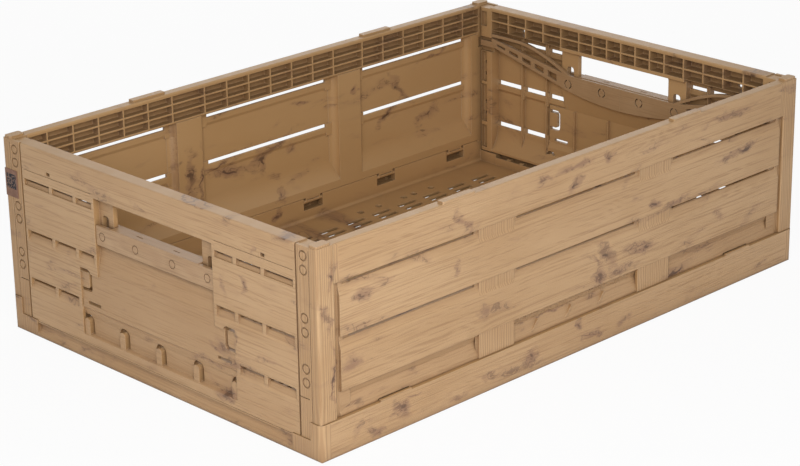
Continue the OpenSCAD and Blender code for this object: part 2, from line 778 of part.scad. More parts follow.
// Slot round the tab at the end of the middle board
module tab_cut() {
    low = ew_mid_z + 8;
    difference() {
        round_rect([panel_y - 14, low], [panel_y + 8, low + 21], 4);
        round_rect([panel_y - 10.5, low + 3], [panel_y + 8, low + 18], 2.5);
        translate([panel_y, low - past]) square([10, 24]);
    }
}

// Arm and pin of an end wall's hinge
module ew_hinge() {
    left_box([foot_d - weld, ew_hinge_d], [-arm_w / 2, arm_w / 2], [ew_foot_z, ew_hinge_z + pin_r]);
    translate([-ew_hinge_x, 0, ew_hinge_z]) rotate([90, 0, 0])
        cylinder(h = arm_w + 2 * ear_t, r = pin_r, center = true);
}

// Back of the recess, round the hand hole
module recess_back_plate() {
    left_box([recess_d, recess_back], [-recess_y - weld, recess_y + weld],
             [recess_z - weld, ew_band_z + weld]);
    left_box([0, ew_t], [-recess_y - 3, recess_y + 3], [hole_top_z, ew_band_z + rib_t / 2]);
    both_y() run_y(recess_y, recess_y + 3, ew_out_x)
        polygon([[0, ew_mid_top - 1], [0, hole_top_z + weld], [recess_back, hole_top_z + weld],
                 [recess_back, recess_z], [panel_back, ew_mid_top - 1]]);
}

module end_wall() {
    slot_w = peg_d + 1.6;
    difference() {
        union() {
            run_y(-panel_y, panel_y, ew_out_x) panel_section();
            run_y(-recess_y - weld, recess_y + weld, ew_out_x) slope_section();
            run_y(-gap_end_y - weld, gap_end_y + weld, ew_out_x) foot_web_section();
            run_y(-ew_board_y, ew_board_y, ew_out_x)
                round_rect([0, ew_band_z], [ew_t, rim_z], 1.5);
            recess_back_plate();
            both_y() {
                side_boards();
                side_post();
            }
            // Thin ribs up the inside
            both_y() for (y = bar_ys)
                left_box([ew_skin - weld, 8], [y - 0.7, y + 0.7], [ew_heel_z, ew_band_z + weld]);
            both_y() for (y = [21, 65])
                left_box([panel_back - weld, panel_back + 3], [y - 0.7, y + 0.7],
                         [ew_low_z, ew_mid_top]);
            for (k = hinge_ends) translate([0, k * ew_hinge_pitch, 0]) ew_hinge();
            through_left(finger_inset, foot_pocket + weld)
                for (k = [-2:2]) translate([k * finger_pitch, 0]) finger_outline(finger_w / 2, ledge_z);
        }
        ew_lattice_cuts();
        // Hand hole
        through_left(-past, ew_t + past)
            round_rect([-hole_y, hole_low_z], [hole_y, hole_top_z], hole_r);
        // Slots that the outer pegs slide in
        both_y() through_left(recess_d - past, recess_back + past)
            round_rect([outer_peg_y - slot_w / 2, peg_z - slot_w / 2],
                       [outer_peg_y + slot_w / 2, peg_z + lift + slot_w / 2 + 4], 3);
        both_y() through_left(-past, panel_back + past) tab_cut();
        through_left(foot_pocket - past, foot_pocket + 3.2)
            for (k = [-2:2]) translate([k * finger_pitch, 0]) finger_cut();
        // Short gaps beside the middle panel
        both_y() left_box([-past, foot_pocket + 4], [recess_y, panel_y - 7],
                          [ew_mid_z - 3.4, ew_mid_z - 0.6]);
        // Small holes through the top rail
        both_y() left_box([-past, ew_skin + past], [bar_ys[1] - 1, bar_ys[1] + 4],
                          [ew_band_z + 2, ew_band_z + 5]);
    }
}

module end_wall_left() {
    color("#bd9465") end_wall();
}

module end_wall_right() {
    color("#bd9465") mirror([1, 0, 0]) end_wall();
}

// Lift lock

// Cover with its top flange and the pegs that pass through the wall
module grip_cover() {
    back = cover_inset + cover_t;
    end_y = recess_y - 0.5;
    color("#b48c60") difference() {
        union() {
            through_left(cover_inset, back) round_rect([-end_y, cover_z], [end_y, bow_top_z], 1);
            left_box([cover_inset, bow_front], [-hole_y + 0.6, hole_y - 0.6],
                     [bow_top_z - 2.4, bow_top_z + 0.6]);
            both_y() for (y = peg_ys)
                translate([-ew_out_x + back - weld, y, peg_z]) rotate([0, 90, 0])
                    cylinder(h = bow_front - back + weld, r = peg_d / 2);
        }
        // Round marks over the pegs, and slits in the flange
        both_y() for (y = peg_ys)
            through_left(0, cover_inset + 1) translate([y, peg_z]) ring(peg_d / 2 + 0.5, 0.9);
        both_y() left_box([back + 2, back + 3.4], [inner_peg_y - 4, inner_peg_y + 4],
                          [bow_top_z - past, bow_top_z + 2]);
    }
}

module grip_cover_left() {
    grip_cover();
}

module grip_cover_right() {
    mirror([1, 0, 0]) grip_cover();
}

// Edges of the bow's arm and leaf at a distance y from the middle
function arm_low(y) = bow_z + 8.5 + (y - arm_y) * 0.25;
function arm_high(y) = arm_low(y) + 14.5 - (y - arm_y) * 0.062;
function leaf_at(y) = y > leaf_peak ? leaf_z
    : bow_top_z - 1 + (leaf_z - bow_top_z + 1) * sin(90 * (y - leaf_start) / (leaf_peak - leaf_start));

// Outline of one arm, with its windows and its tip
module bow_arm() {
    step = (arm_end_y - arm_y - 8) / 5;
    difference() {
        polygon([[arm_y - 6, arm_low(arm_y) - 1], [arm_end_y, arm_low(arm_end_y)],
                 [arm_end_y, arm_high(arm_end_y)], [arm_y - 6, arm_high(arm_y)]]);
        for (k = [0:4]) {
            y0 = arm_y + 7 + k * step;
            y1 = y0 + step - 5.5;
            polygon([[y0, arm_low(y0) + 3.5], [y1, arm_low(y1) + 3.5],
                     [y1, arm_high(y1) - 3.5], [y0, arm_high(y0) - 3.5]]);
        }
    }
    translate([arm_end_y - 4, tip_z - tip_h]) square([ew_side_y - arm_end_y + 4, tip_h]);
}

// Outline of the leaf spring above one arm
module bow_leaf() {
    ys = concat([for (k = [0:12]) leaf_start + k * (leaf_peak - leaf_start) / 12], [arm_end_y]);
    polygon(concat([for (y = ys) [y, leaf_at(y)]],
                   [for (k = [len(ys) - 1:-1:0]) [ys[k], leaf_at(ys[k]) - leaf_t]]));
}

// Spring bow: a bar with two arms and two leaf springs, in one piece
module spring_bow() {
    rise = arm_low(arm_y) - bow_z;
    bow_r = (pow(arm_y, 2) + pow(rise, 2)) / (2 * rise);
    bow_back = bow_front + bow_t;
    color("#a9825a") difference() {
        union() {
            through_left(bow_front, bow_back) intersection() {
                translate([0, bow_z + bow_r]) circle(bow_r, $fn = 360);
                translate([-arm_y, 0]) square([2 * arm_y, bow_top_z]);
            }
            both_y() through_left(bow_front, bow_back) bow_arm();
            both_y() through_left(bow_front, bow_back) bow_leaf();
        }
        // Split rings round the peg seats
        both_y() for (y = peg_ys)
            through_left(bow_front - past, bow_back + past) translate([y, peg_z]) difference() {
                ring(peg_d / 2 + 1.2, 1.2);
                square([2.4, 2 * peg_d], center = true);
            }
        // Bevel that clears the tray when folded
        both_y() translate([-ew_out_x + bow_back, ew_side_y, tip_z - tip_h - past])
            rotate([0, 0, 45]) translate([-0.9, -0.9, 0]) cube([1.8, 1.8, tip_h + 2 * past]);
    }
}

module spring_bow_left() {
    spring_bow();
}

module spring_bow_right() {
    mirror([1, 0, 0]) spring_bow();
}

// Plain data label on the back wall's left corner
module data_label() {
    label_y = lw_out_y - 0.3 - label_w;
    label_z = rim_z - label_drop - label_h / 2;
    color("#8d6c52") span([-ew_out_x - label_t, label_y, label_z],
                          [-ew_out_x, label_y + label_w, label_z + label_h]);
}

base_tray();
long_wall_front();
long_wall_back();
end_wall_left();
end_wall_right();
grip_cover_left();
grip_cover_right();
spring_bow_left();
spring_bow_right();
data_label();
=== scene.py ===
"""Looks of the folding crate: moulded timber-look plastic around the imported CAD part.

Lengths in the sizes and finishes are in millimetres, and each is turned into
metres where it reaches Blender.
"""

import logging
import math
from dataclasses import dataclass
from enum import Enum

import bpy
from mathutils import Matrix, Vector


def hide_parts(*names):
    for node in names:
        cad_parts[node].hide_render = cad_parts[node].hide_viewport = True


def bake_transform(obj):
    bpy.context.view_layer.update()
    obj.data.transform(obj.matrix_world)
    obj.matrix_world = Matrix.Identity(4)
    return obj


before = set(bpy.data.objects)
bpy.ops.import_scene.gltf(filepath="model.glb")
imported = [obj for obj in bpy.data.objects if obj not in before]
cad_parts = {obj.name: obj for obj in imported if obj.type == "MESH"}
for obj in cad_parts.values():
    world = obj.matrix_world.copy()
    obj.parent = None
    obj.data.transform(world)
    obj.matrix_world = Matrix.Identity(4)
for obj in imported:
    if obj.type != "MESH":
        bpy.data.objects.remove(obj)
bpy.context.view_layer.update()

MM = 0.001
# Reach, in millimetres, of the painted shade in crevices and recesses.
POCKET_SHADE_REACH = 16.0
log = logging.getLogger("folding_crate")

Socket = bpy.types.NodeSocket
Number = float | int
Point = tuple[float, float, float]
Colour = tuple[float, float, float]
Area = tuple[float, float, float, float]


class Graph:
    """The nodes of one material, or of the world.

    Each pair of limits says where a mask is 0 and where it is 1: EDGE for the likeness of
    the rounded normal and the true one, AWAY for millimetres, and CLOSED for the open
    share of the surroundings.
    """

    EDGE = (0.995, 0.80)
    AWAY = (30, 90)
    CLOSED = (0.92, 0.20)

    def __init__(self, owner: bpy.types.Material | bpy.types.World) -> None:
        """Empties the owner's node tree."""
        self.owner = owner
        owner.use_nodes = True
        self.tree = owner.node_tree
        self.tree.nodes.clear()

    @classmethod
    def material(cls, name: str) -> "Graph":
        """The empty nodes of a new material."""
        return cls(bpy.data.materials.new(name))

    def node(self, kind: str, inputs: dict | None = None, **settings: object) -> bpy.types.Node:
        """Adds a node.

        Args:
            kind: The node's type.
            inputs: Values or links of its sockets, by name or number.
            settings: Its settings, which are made before its sockets are filled.

        Returns:
            The node.
        """
        made = self.tree.nodes.new(kind)
        for name, value in settings.items():
            setattr(made, name, value)
        for key, value in (inputs or {}).items():
            socket = made.inputs[key]
            value = value.socket if isinstance(value, Field) else value
            if isinstance(value, Socket):
                self.tree.links.new(value, socket)
            else:
                socket.default_value = value
        return made

    def math(self, operation: str, *values: "Field | Number") -> "Field":
        """A Math node of those values, as a field."""
        made = self.node("ShaderNodeMath", dict(enumerate(values)), operation=operation)
        return Field(self, made.outputs[0])

    def place(self) -> tuple["Field", "Field", "Field"]:
        """The surface's own x, y and z, in millimetres."""
        where = self.node("ShaderNodeTexCoord").outputs["Object"]
        scaled = self.node("ShaderNodeVectorMath", {0: where, "Scale": 1 / MM}, operation="SCALE")
        split = self.node("ShaderNodeSeparateXYZ", {0: scaled.outputs[0]})
        return tuple(Field(self, split.outputs[k]) for k in range(3))

    def vector(self, x: "Field | Number", y: "Field | Number", z: "Field | Number") -> Socket:
        """One vector of three values."""
        return self.node("ShaderNodeCombineXYZ", {0: x, 1: y, 2: z}).outputs[0]

    def noise(self, at: Socket, detail: float = 2.0, rough: float = 0.5, warp: float = 0.0) -> "Field":
        """Soft noise from 0 to 1, whose grains are about one unit of the vector wide.

        Args:
            at: The vector that it is read at.
            detail: How many finer layers it has.
            rough: Strength of the finer layers.
            warp: How far it is distorted by itself.

        Returns:
            The noise.
        """
        made = self.node("ShaderNodeTexNoise", {"Vector": at, "Scale": 1.0, "Detail": detail,
                                                "Roughness": rough, "Distortion": warp})
        return Field(self, made.outputs[0])

    def mix(self, share: "Field | Number", first: object, second: object) -> Socket:
        """A colour between two colours."""
        made = self.node("ShaderNodeMix", {0: share, 6: first, 7: second}, data_type="RGBA")
        return made.outputs[2]

    def edges(self, radius: float) -> tuple["Field", Socket]:
        """Where edges are, from a normal that is rounded over them.

        Args:
            radius: Radius of the rounding.

        Returns:
            A mask of the edges, which the materials use for a painted highlight, and the rounded
            normal.
        """
        rounded = self.node("ShaderNodeBevel", {"Radius": radius * MM}, samples=6).outputs[0]
        true = self.node("ShaderNodeNewGeometry").outputs["True Normal"]
        dot = self.node("ShaderNodeVectorMath", {0: rounded, 1: true}, operation="DOT_PRODUCT")
        return Field(self, dot.outputs["Value"]).step(*self.EDGE), rounded

    def outward(self, x: "Field", y: "Field") -> "Field":
        """1 on faces that look away from the crate's middle, and 0 on all others.

        Args:
            x: Distance from the middle along the crate.
            y: Distance from the middle across it.

        Returns:
            The mask.
        """
        true = self.node("ShaderNodeNewGeometry").outputs["True Normal"]
        own = self.node("ShaderNodeVectorTransform", {0: true}, vector_type="NORMAL",
                        convert_from="WORLD", convert_to="OBJECT")
        split = self.node("ShaderNodeSeparateXYZ", {0: own.outputs[0]})
        away = (Field(self, split.outputs[0]) * x).most(Field(self, split.outputs[1]) * y)
        return away.step(*self.AWAY)

    def pocket_shade_mask(self, reach: float) -> "Field":
        """Mask of painted shade: how closed in the surface is, 0 in the open and 1 far inside a pocket
        narrower than reach.
        """
        made = self.node("ShaderNodeAmbientOcclusion", {"Distance": reach * MM}, samples=6)
        return Field(self, made.outputs["AO"]).step(*self.CLOSED)

    def surface(self, colour: Socket, roughness: "Field", height: "Field", normal: Socket) -> None:
        """Closes a material with a plastic surface.

        Args:
            colour: Its colour.
            roughness: Its roughness.
            height: Height of its relief.
            normal: The normal that the relief stands on.
        """
        bump = self.node("ShaderNodeBump", {"Height": height, "Normal": normal,
                                            "Distance": MM, "Strength": 1.0})
        shader = self.node("ShaderNodeBsdfPrincipled",
                           {"Base Color": colour, "Normal": bump.outputs[0], "Roughness": roughness})
        self.node("ShaderNodeOutputMaterial", {0: shader.outputs[0]})


@dataclass(frozen=True)
class Field:
    """A value that varies over a surface: a node's socket with Python's operators."""

    graph: Graph
    socket: Socket

    def __add__(self, other: "Field | Number") -> "Field":
        """The sum."""
        return self.graph.math("ADD", self, other)

    def __radd__(self, other: Number) -> "Field":
        """The sum, from the right."""
        return self.graph.math("ADD", other, self)

    def __sub__(self, other: "Field | Number") -> "Field":
        """The difference."""
        return self.graph.math("SUBTRACT", self, other)

    def __rsub__(self, other: Number) -> "Field":
        """The difference, from the right."""
        return self.graph.math("SUBTRACT", other, self)

    def __mul__(self, other: "Field | Number") -> "Field":
        """The product."""
        return self.graph.math("MULTIPLY", self, other)

    def __rmul__(self, other: Number) -> "Field":
        """The product, from the right."""
        return self.graph.math("MULTIPLY", other, self)

    def __truediv__(self, other: "Field | Number") -> "Field":
        """The quotient."""
        return self.graph.math("DIVIDE", self, other)

    def __abs__(self) -> "Field":
        """The value without its sign."""
        return self.graph.math("ABSOLUTE", self)

    def sine(self) -> "Field":
        """Its sine."""
        return self.graph.math("SINE", self)

    def most(self, other: "Field | Number") -> "Field":
        """The larger of two."""
        return self.graph.math("MAXIMUM", self, other)

    def least(self, other: "Field | Number") -> "Field":
        """The smaller of two."""
        return self.graph.math("MINIMUM", self, other)

    def step(self, low: float, high: float) -> "Field":
        """0 below low, 1 above high, and smooth between; high may be the lower of the two."""
        made = self.graph.node("ShaderNodeMapRange",
                               {"Value": self, "From Min": low, "From Max": high},
                               interpolation_type="SMOOTHSTEP")
        return Field(self.graph, made.outputs[0])

    def within(self, low: float, high: float, soft: float = 0.4) -> "Field":
        """1 between two limits and 0 outside."""
        return self.step(low - soft, low + soft) * self.step(high + soft, high - soft)


class Mark(Enum):
    """What a mark in the plastic is."""

    HAZE = "haze"
    KNOT = "knot"
    STROKE = "stroke"


@dataclass(frozen=True)
class Stain:
    """One mark of darker plastic, on a face that is seen square on.

    across and up say where its middle is, half_w and half_h how far it reaches, turn its
    angle in degrees, and depth how strong it is, from 0 to 1.
    """

    across: float
    up: float
    half_w: float
    half_h: float
    turn: float = 0.0
    mark: Mark = Mark.HAZE
    depth: float = 1.0


class Run(Enum):
    """Which way the boards of a piece run."""

    ALONG_X = 0
    ALONG_Y = 1


@dataclass(frozen=True)
class TimberPlastic:
    """Tan plastic with a moulded timber grain and streaks of darker plastic.

    upright lists areas, of across and up ranges, in which the grain stands upright, and
    rough_patch is an area of fine dots, dot apart. face is the distance of the outer face
    from the crate's middle. The grain is moulded in outer faces alone. end is, for a piece
    that has end sills, the distance from the middle beyond which the grain runs along Y,
    and half the length of the sills.
    """

    name: str
    run: Run
    face: float
    upright: tuple[Area, ...] = ()
    stains: tuple[Stain, ...] = ()
    rough_patch: Area | None = None
    end: tuple[float, float] | None = None
    tan: Colour = (0.505, 0.310, 0.155)
    light: Colour = (0.570, 0.365, 0.195)
    brown: Colour = (0.360, 0.205, 0.096)
    haze: Colour = (0.215, 0.108, 0.076)
    dark: Colour = (0.062, 0.030, 0.022)
    edge_highlight_colour: Colour = (0.680, 0.490, 0.310)
    inward_shade: Colour = (0.465, 0.262, 0.092)
    pocket_shade_colour: Colour = (0.140, 0.070, 0.030)
    seed: float = 0.0
    pitch: float = 3.4
    reed: float = 2.5
    round_edge: float = 0.7
    roughness: float = 0.46
    dot: float = 2.2

    def lines(self, g: Graph, along: Field, across: Field, other: Field) -> Field:
        """Grain lines, from 0 to 1, that run along one direction.

        Args:
            g: The material's nodes.
            along: Distance along the grain.
            across: Distance across it, on the face.
            other: The third distance.

        Returns:
            The height of the grain.
        """
        figure = g.noise(g.vector(along / 170 + self.seed, across / 26, other / 26), 2.0, 0.5, 0.3)
        wave = ((figure * 13 + across / self.pitch) * math.tau).sine() * 0.5 + 0.5
        fibre = g.noise(g.vector(along / 120 + self.seed, across / 1.6, other / 1.6), 4.0, 0.68)
        return wave * 0.22 + fibre.step(0.28, 0.72) * 0.78

    def reeds(self, g: Graph, along: Field, z: Field, depth: Field) -> Field:
        """Upright grain lines, from 0 to 1, of the posts and stiles."""
        over = along + depth
        sway = g.noise(g.vector(over / 9, z / 90, 0.0), 1.0) * 7
        wave = ((over + sway) * (math.tau / self.reed)).sine() * 0.5 + 0.5
        fibre = g.noise(g.vector(over / 1.1, z / 40, 0.0), 2.0).step(0.25, 0.75)
        return wave * 0.60 + fibre * 0.22

    def nearest(self, g: Graph, at: Socket) -> dict[Mark, Field]:
        """Distance from the nearest stain of each kind, as a share of its size.

        Args:
            g: The material's nodes.
            at: The warped place on the face, as a vector of across and up.

        Returns:
            One field for each kind of mark that is listed.
        """
        found = {}
        for s in self.stains:
            inside = g.node("ShaderNodeMapping",
                            {"Vector": at, "Location": (s.across, s.up, 0),
                             "Rotation": (0, 0, math.radians(s.turn)),
                             "Scale": (s.half_w, s.half_h, 1)}, vector_type="TEXTURE")
            far = g.node("ShaderNodeVectorMath", {0: inside.outputs[0]}, operation="LENGTH")
            away = Field(g, far.outputs["Value"])
            # A weaker mark looks as a full one does further from its middle.
            if s.depth < 1:
                away = away + (1 - s.depth) * 0.7
            found[s.mark] = found[s.mark].least(away) if s.mark in found else away
        return found

    def pigment(self, g: Graph, along: Field, z: Field, depth: Field,
                sway: Field) -> tuple[Field, Field]:
        """Streaks and marks of darker plastic.

        Args:
            g: The material's nodes.
            along: Distance along the wall.
            z: Height.
            depth: Distance through the wall.
            sway: Soft noise that breaks the marks up.

        Returns:
            Share of violet-brown haze, and share of dark strokes.
        """
        other = g.noise(g.vector(along / 19, z / 14 + 7.3, depth / 40), 2.0, 0.5)
        on_face = g.vector(along + (sway - 0.5) * 26, z + (other - 0.5) * 16, 0.0)
        broken = other.step(0.42, 0.56)
        ragged = (g.noise(g.vector(along / 6, z / 2.4, depth / 12), 2.0, 0.6) - 0.5) * 0.9
        wide = g.vector(along / 55 + self.seed, z / 22, depth / 50)
        blots = g.noise(wide, 3.0, 0.58, 0.5).step(0.55, 0.76)
        tight = g.vector(along / 13 + self.seed, z / 8 + 3, depth / 30)
        veins = abs(g.noise(tight, 2.0, 0.5, 1.0) - 0.5).step(0.045, 0.012)
        haze = blots * 0.50
        dark = veins * blots.step(0.20, 0.65) * 0.50
        found = self.nearest(g, on_face)
        if Mark.HAZE in found:
            away = found[Mark.HAZE] + ragged
            haze = haze.most(away.step(1.40, 0.30) * (broken * 0.35 + 0.50))
            dark = dark.most(away.step(1.25, 0.50) * veins * 0.45)
        if Mark.KNOT in found:
            away = found[Mark.KNOT] + ragged
            haze = haze.most(away.step(2.0, 0.6) * 0.85)
            dark = dark.most(away.step(0.75, 0.35) * 0.75)
            dark = dark.most(away.step(2.0, 0.9) * veins * 0.50)
        if Mark.STROKE in found:
            away = found[Mark.STROKE] + ragged
            haze = haze.most(away.step(2.8, 0.8) * 0.60)
            dark = dark.most(away.step(0.95, 0.55) * (broken * 0.55 + 0.35))
            dark = dark.most(away.step(3.0, 1.2) * veins * 0.40)
        return haze * 0.66, dark * 0.85

    def make(self) -> bpy.types.Material:
        """Builds the material.

        Returns:
            The finished material.
        """
        g = Graph.material(self.name)
        x, y, z = g.place()
        along, depth = (x, y) if self.run is Run.ALONG_X else (y, x)
        sway = g.noise(g.vector(along / 17 + self.seed, z / 12, depth / 40), 2.0, 0.5)
        upright = None
        for low_u, high_u, low_z, high_z in self.upright:
            here = abs(along).within(low_u, high_u, 0.3) * z.within(low_z, high_z, 0.3)
            upright = here if upright is None else upright.most(here)
        grain = self.lines(g, along, z, depth)
        if self.end:
            start, half = self.end
            sill = abs(x).step(start - 0.2, start + 0.2) * abs(y).step(half + 0.2, half - 0.2)
            grain = grain * (1 - sill) + self.lines(g, y, z, x) * sill
            upright = upright * (1 - sill)
        if upright is not None:
            grain = grain * (1 - upright) + self.reeds(g, along, z, depth) * upright
        outside = g.outward(x, y)
        # Mask of painted shade: outer faces set back from the outer plane, such as sills and recesses.
        recess_shade = abs(depth).step(self.face - 0.4, self.face - 1.8) * outside
        haze, dark = self.pigment(g, along, z, depth, sway)

        patches = g.noise(g.vector(along / 150 + self.seed, z / 60, depth / 90), 3.0, 0.55)
        wear_and_edge_highlight, rounded = g.edges(self.round_edge)
        # The number beside each mask is the largest share of its colour.
        colour = g.mix(patches.step(0.30, 0.70), (*self.tan, 1), (*self.light, 1))
        # Painted shade: faces that look into the crate take a darker, more saturated tone.
        colour = g.mix((1 - outside) * 0.55, colour, (*self.inward_shade, 1))
        colour = g.mix(grain.step(0.54, 0.05) * (outside * 0.66 + 0.02), colour, (*self.brown, 1))
        # Painted shade: set-back parts of the outer faces are browned.
        colour = g.mix(recess_shade * 0.34, colour, (*self.brown, 1))
        colour = g.mix(haze, colour, (*self.haze, 1))
        colour = g.mix(dark, colour, (*self.dark, 1))
        # Painted shade: crevices and recesses are darkened towards the shade colour, from an ambient
        # occlusion mask.
        colour = g.mix(g.pocket_shade_mask(POCKET_SHADE_REACH) * 0.60, colour, (*self.pocket_shade_colour, 1))
        # Painted highlight: edges are lightened where their rounding would catch the light.
        colour = g.mix(wear_and_edge_highlight * 0.40, colour, (*self.edge_highlight_colour, 1))

        height = grain * outside * 0.22 + g.noise(g.vector(x / 1.3, y / 1.3, z / 1.3), 2.0) * 0.05
        if self.rough_patch:
            low_u, high_u, low_z, high_z = self.rough_patch
            spots = g.vector(along / self.dot, z / self.dot, depth / self.dot)
            dots = g.node("ShaderNodeTexVoronoi", {"Vector": spots, "Scale": 1.0})
            here = along.within(low_u, high_u, 0.6) * z.within(low_z, high_z, 0.6) * outside
            height = height + (1 - Field(g, dots.outputs["Distance"]).step(0.1, 0.6)) * here * 0.7
        g.surface(colour, self.roughness - dark * 0.08 + (sway - 0.5) * 0.14, height, rounded)
        return g.owner


@dataclass(frozen=True)
class LockPlastic:
    """Greyer tan plastic of the lift lock, with fine lines along its face."""

    name: str
    base: Colour = (0.430, 0.265, 0.143)
    pale: Colour = (0.500, 0.325, 0.185)
    line: Colour = (0.310, 0.185, 0.097)
    edge_highlight_colour: Colour = (0.620, 0.440, 0.275)
    pocket_shade_colour: Colour = (0.150, 0.083, 0.043)
    inward_shade: Colour = (0.345, 0.200, 0.085)
    round_edge: float = 0.6

    def make(self) -> bpy.types.Material:
        """Builds the material.

        Returns:
            The finished material.
        """
        g = Graph.material(self.name)
        x, y, z = g.place()
        cloud = g.noise(g.vector(x / 40, y / 40, z / 16), 3.0, 0.6, 0.4)
        lines = g.noise(g.vector(x / 2.0, y / 45, z / 0.8), 2.0, 0.6)
        fine = g.noise(g.vector(x / 1.1, y / 1.1, z / 1.1), 2.0, 0.6)
        wear_and_edge_highlight, rounded = g.edges(self.round_edge)
        colour = g.mix(cloud.step(0.3, 0.7), (*self.base, 1), (*self.pale, 1))
        colour = g.mix(lines.step(0.52, 0.34) * 0.6, colour, (*self.line, 1))
        # Painted shade: faces that look into the crate take a darker, more saturated tone.
        colour = g.mix((1 - g.outward(x, y)) * 0.5, colour, (*self.inward_shade, 1))
        # Painted shade: crevices and recesses are darkened towards the shade colour, from an ambient
        # occlusion mask.
        colour = g.mix(g.pocket_shade_mask(POCKET_SHADE_REACH) * 0.45, colour, (*self.pocket_shade_colour, 1))
        # Painted highlight: edges are lightened where their rounding would catch the light.
        colour = g.mix(wear_and_edge_highlight * 0.3, colour, (*self.edge_highlight_colour, 1))
        g.surface(colour, cloud * 0.12 + 0.40, lines * 0.12 + fine * 0.04, rounded)
        return g.owner


@dataclass(frozen=True)
class LabelFilm:
    """Brown label film with a block of plain random squares."""

    name: str
    cell: float = 1.1
    block: Area = (183.5, 196.5, 133.0, 146.5)
    film: Colour = (0.205, 0.103, 0.066)
    pale: Colour = (0.270, 0.147, 0.097)
    ground: Colour = (0.150, 0.108, 0.090)
    ink: Colour = (0.012, 0.012, 0.018)

    def make(self) -> bpy.types.Material:
        """Builds the material.

        Returns:
            The finished material.
        """
        g = Graph.material(self.name)
        _, y, z = g.place()
        cell_y, cell_z = g.math("FLOOR", y / self.cell), g.math("FLOOR", z / self.cell)
        random = g.node("ShaderNodeTexWhiteNoise", {"Vector": g.vector(cell_y, cell_z, 0.0)})
        low_y, high_y, low_z, high_z = self.block
        here = y.within(low_y, high_y, 0.05) * z.within(low_z, high_z, 0.05)
        squares = Field(g, random.outputs[0]).step(0.45, 0.46) * here
        wear_and_edge_highlight = g.noise(g.vector(y / 5, z / 5, 0.0), 3.0, 0.6)
        colour = g.mix(wear_and_edge_highlight.step(0.35, 0.7), (*self.film, 1), (*self.pale, 1))
        colour = g.mix(here * 0.6, colour, (*self.ground, 1))
        colour = g.mix(squares, colour, (*self.ink, 1))
        shader = g.node("ShaderNodeBsdfPrincipled",
                        {"Base Color": colour, "Roughness": wear_and_edge_highlight * 0.2 + 0.50})
        g.node("ShaderNodeOutputMaterial", {0: shader.outputs[0]})
        return g.owner


def dress(node: str, material: bpy.types.Material) -> None:
    """Gives a CAD node its material, in each of its slots."""
    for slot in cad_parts[node].material_slots:
        slot.material = material
    log.info("dressed %s with %s", node, material.name)


def select_only(piece: bpy.types.Object) -> None:
    """Makes one object the only selected one, and the active one."""
    bpy.ops.object.select_all(action="DESELECT")
    piece.select_set(True)
    bpy.context.view_layer.objects.active = piece


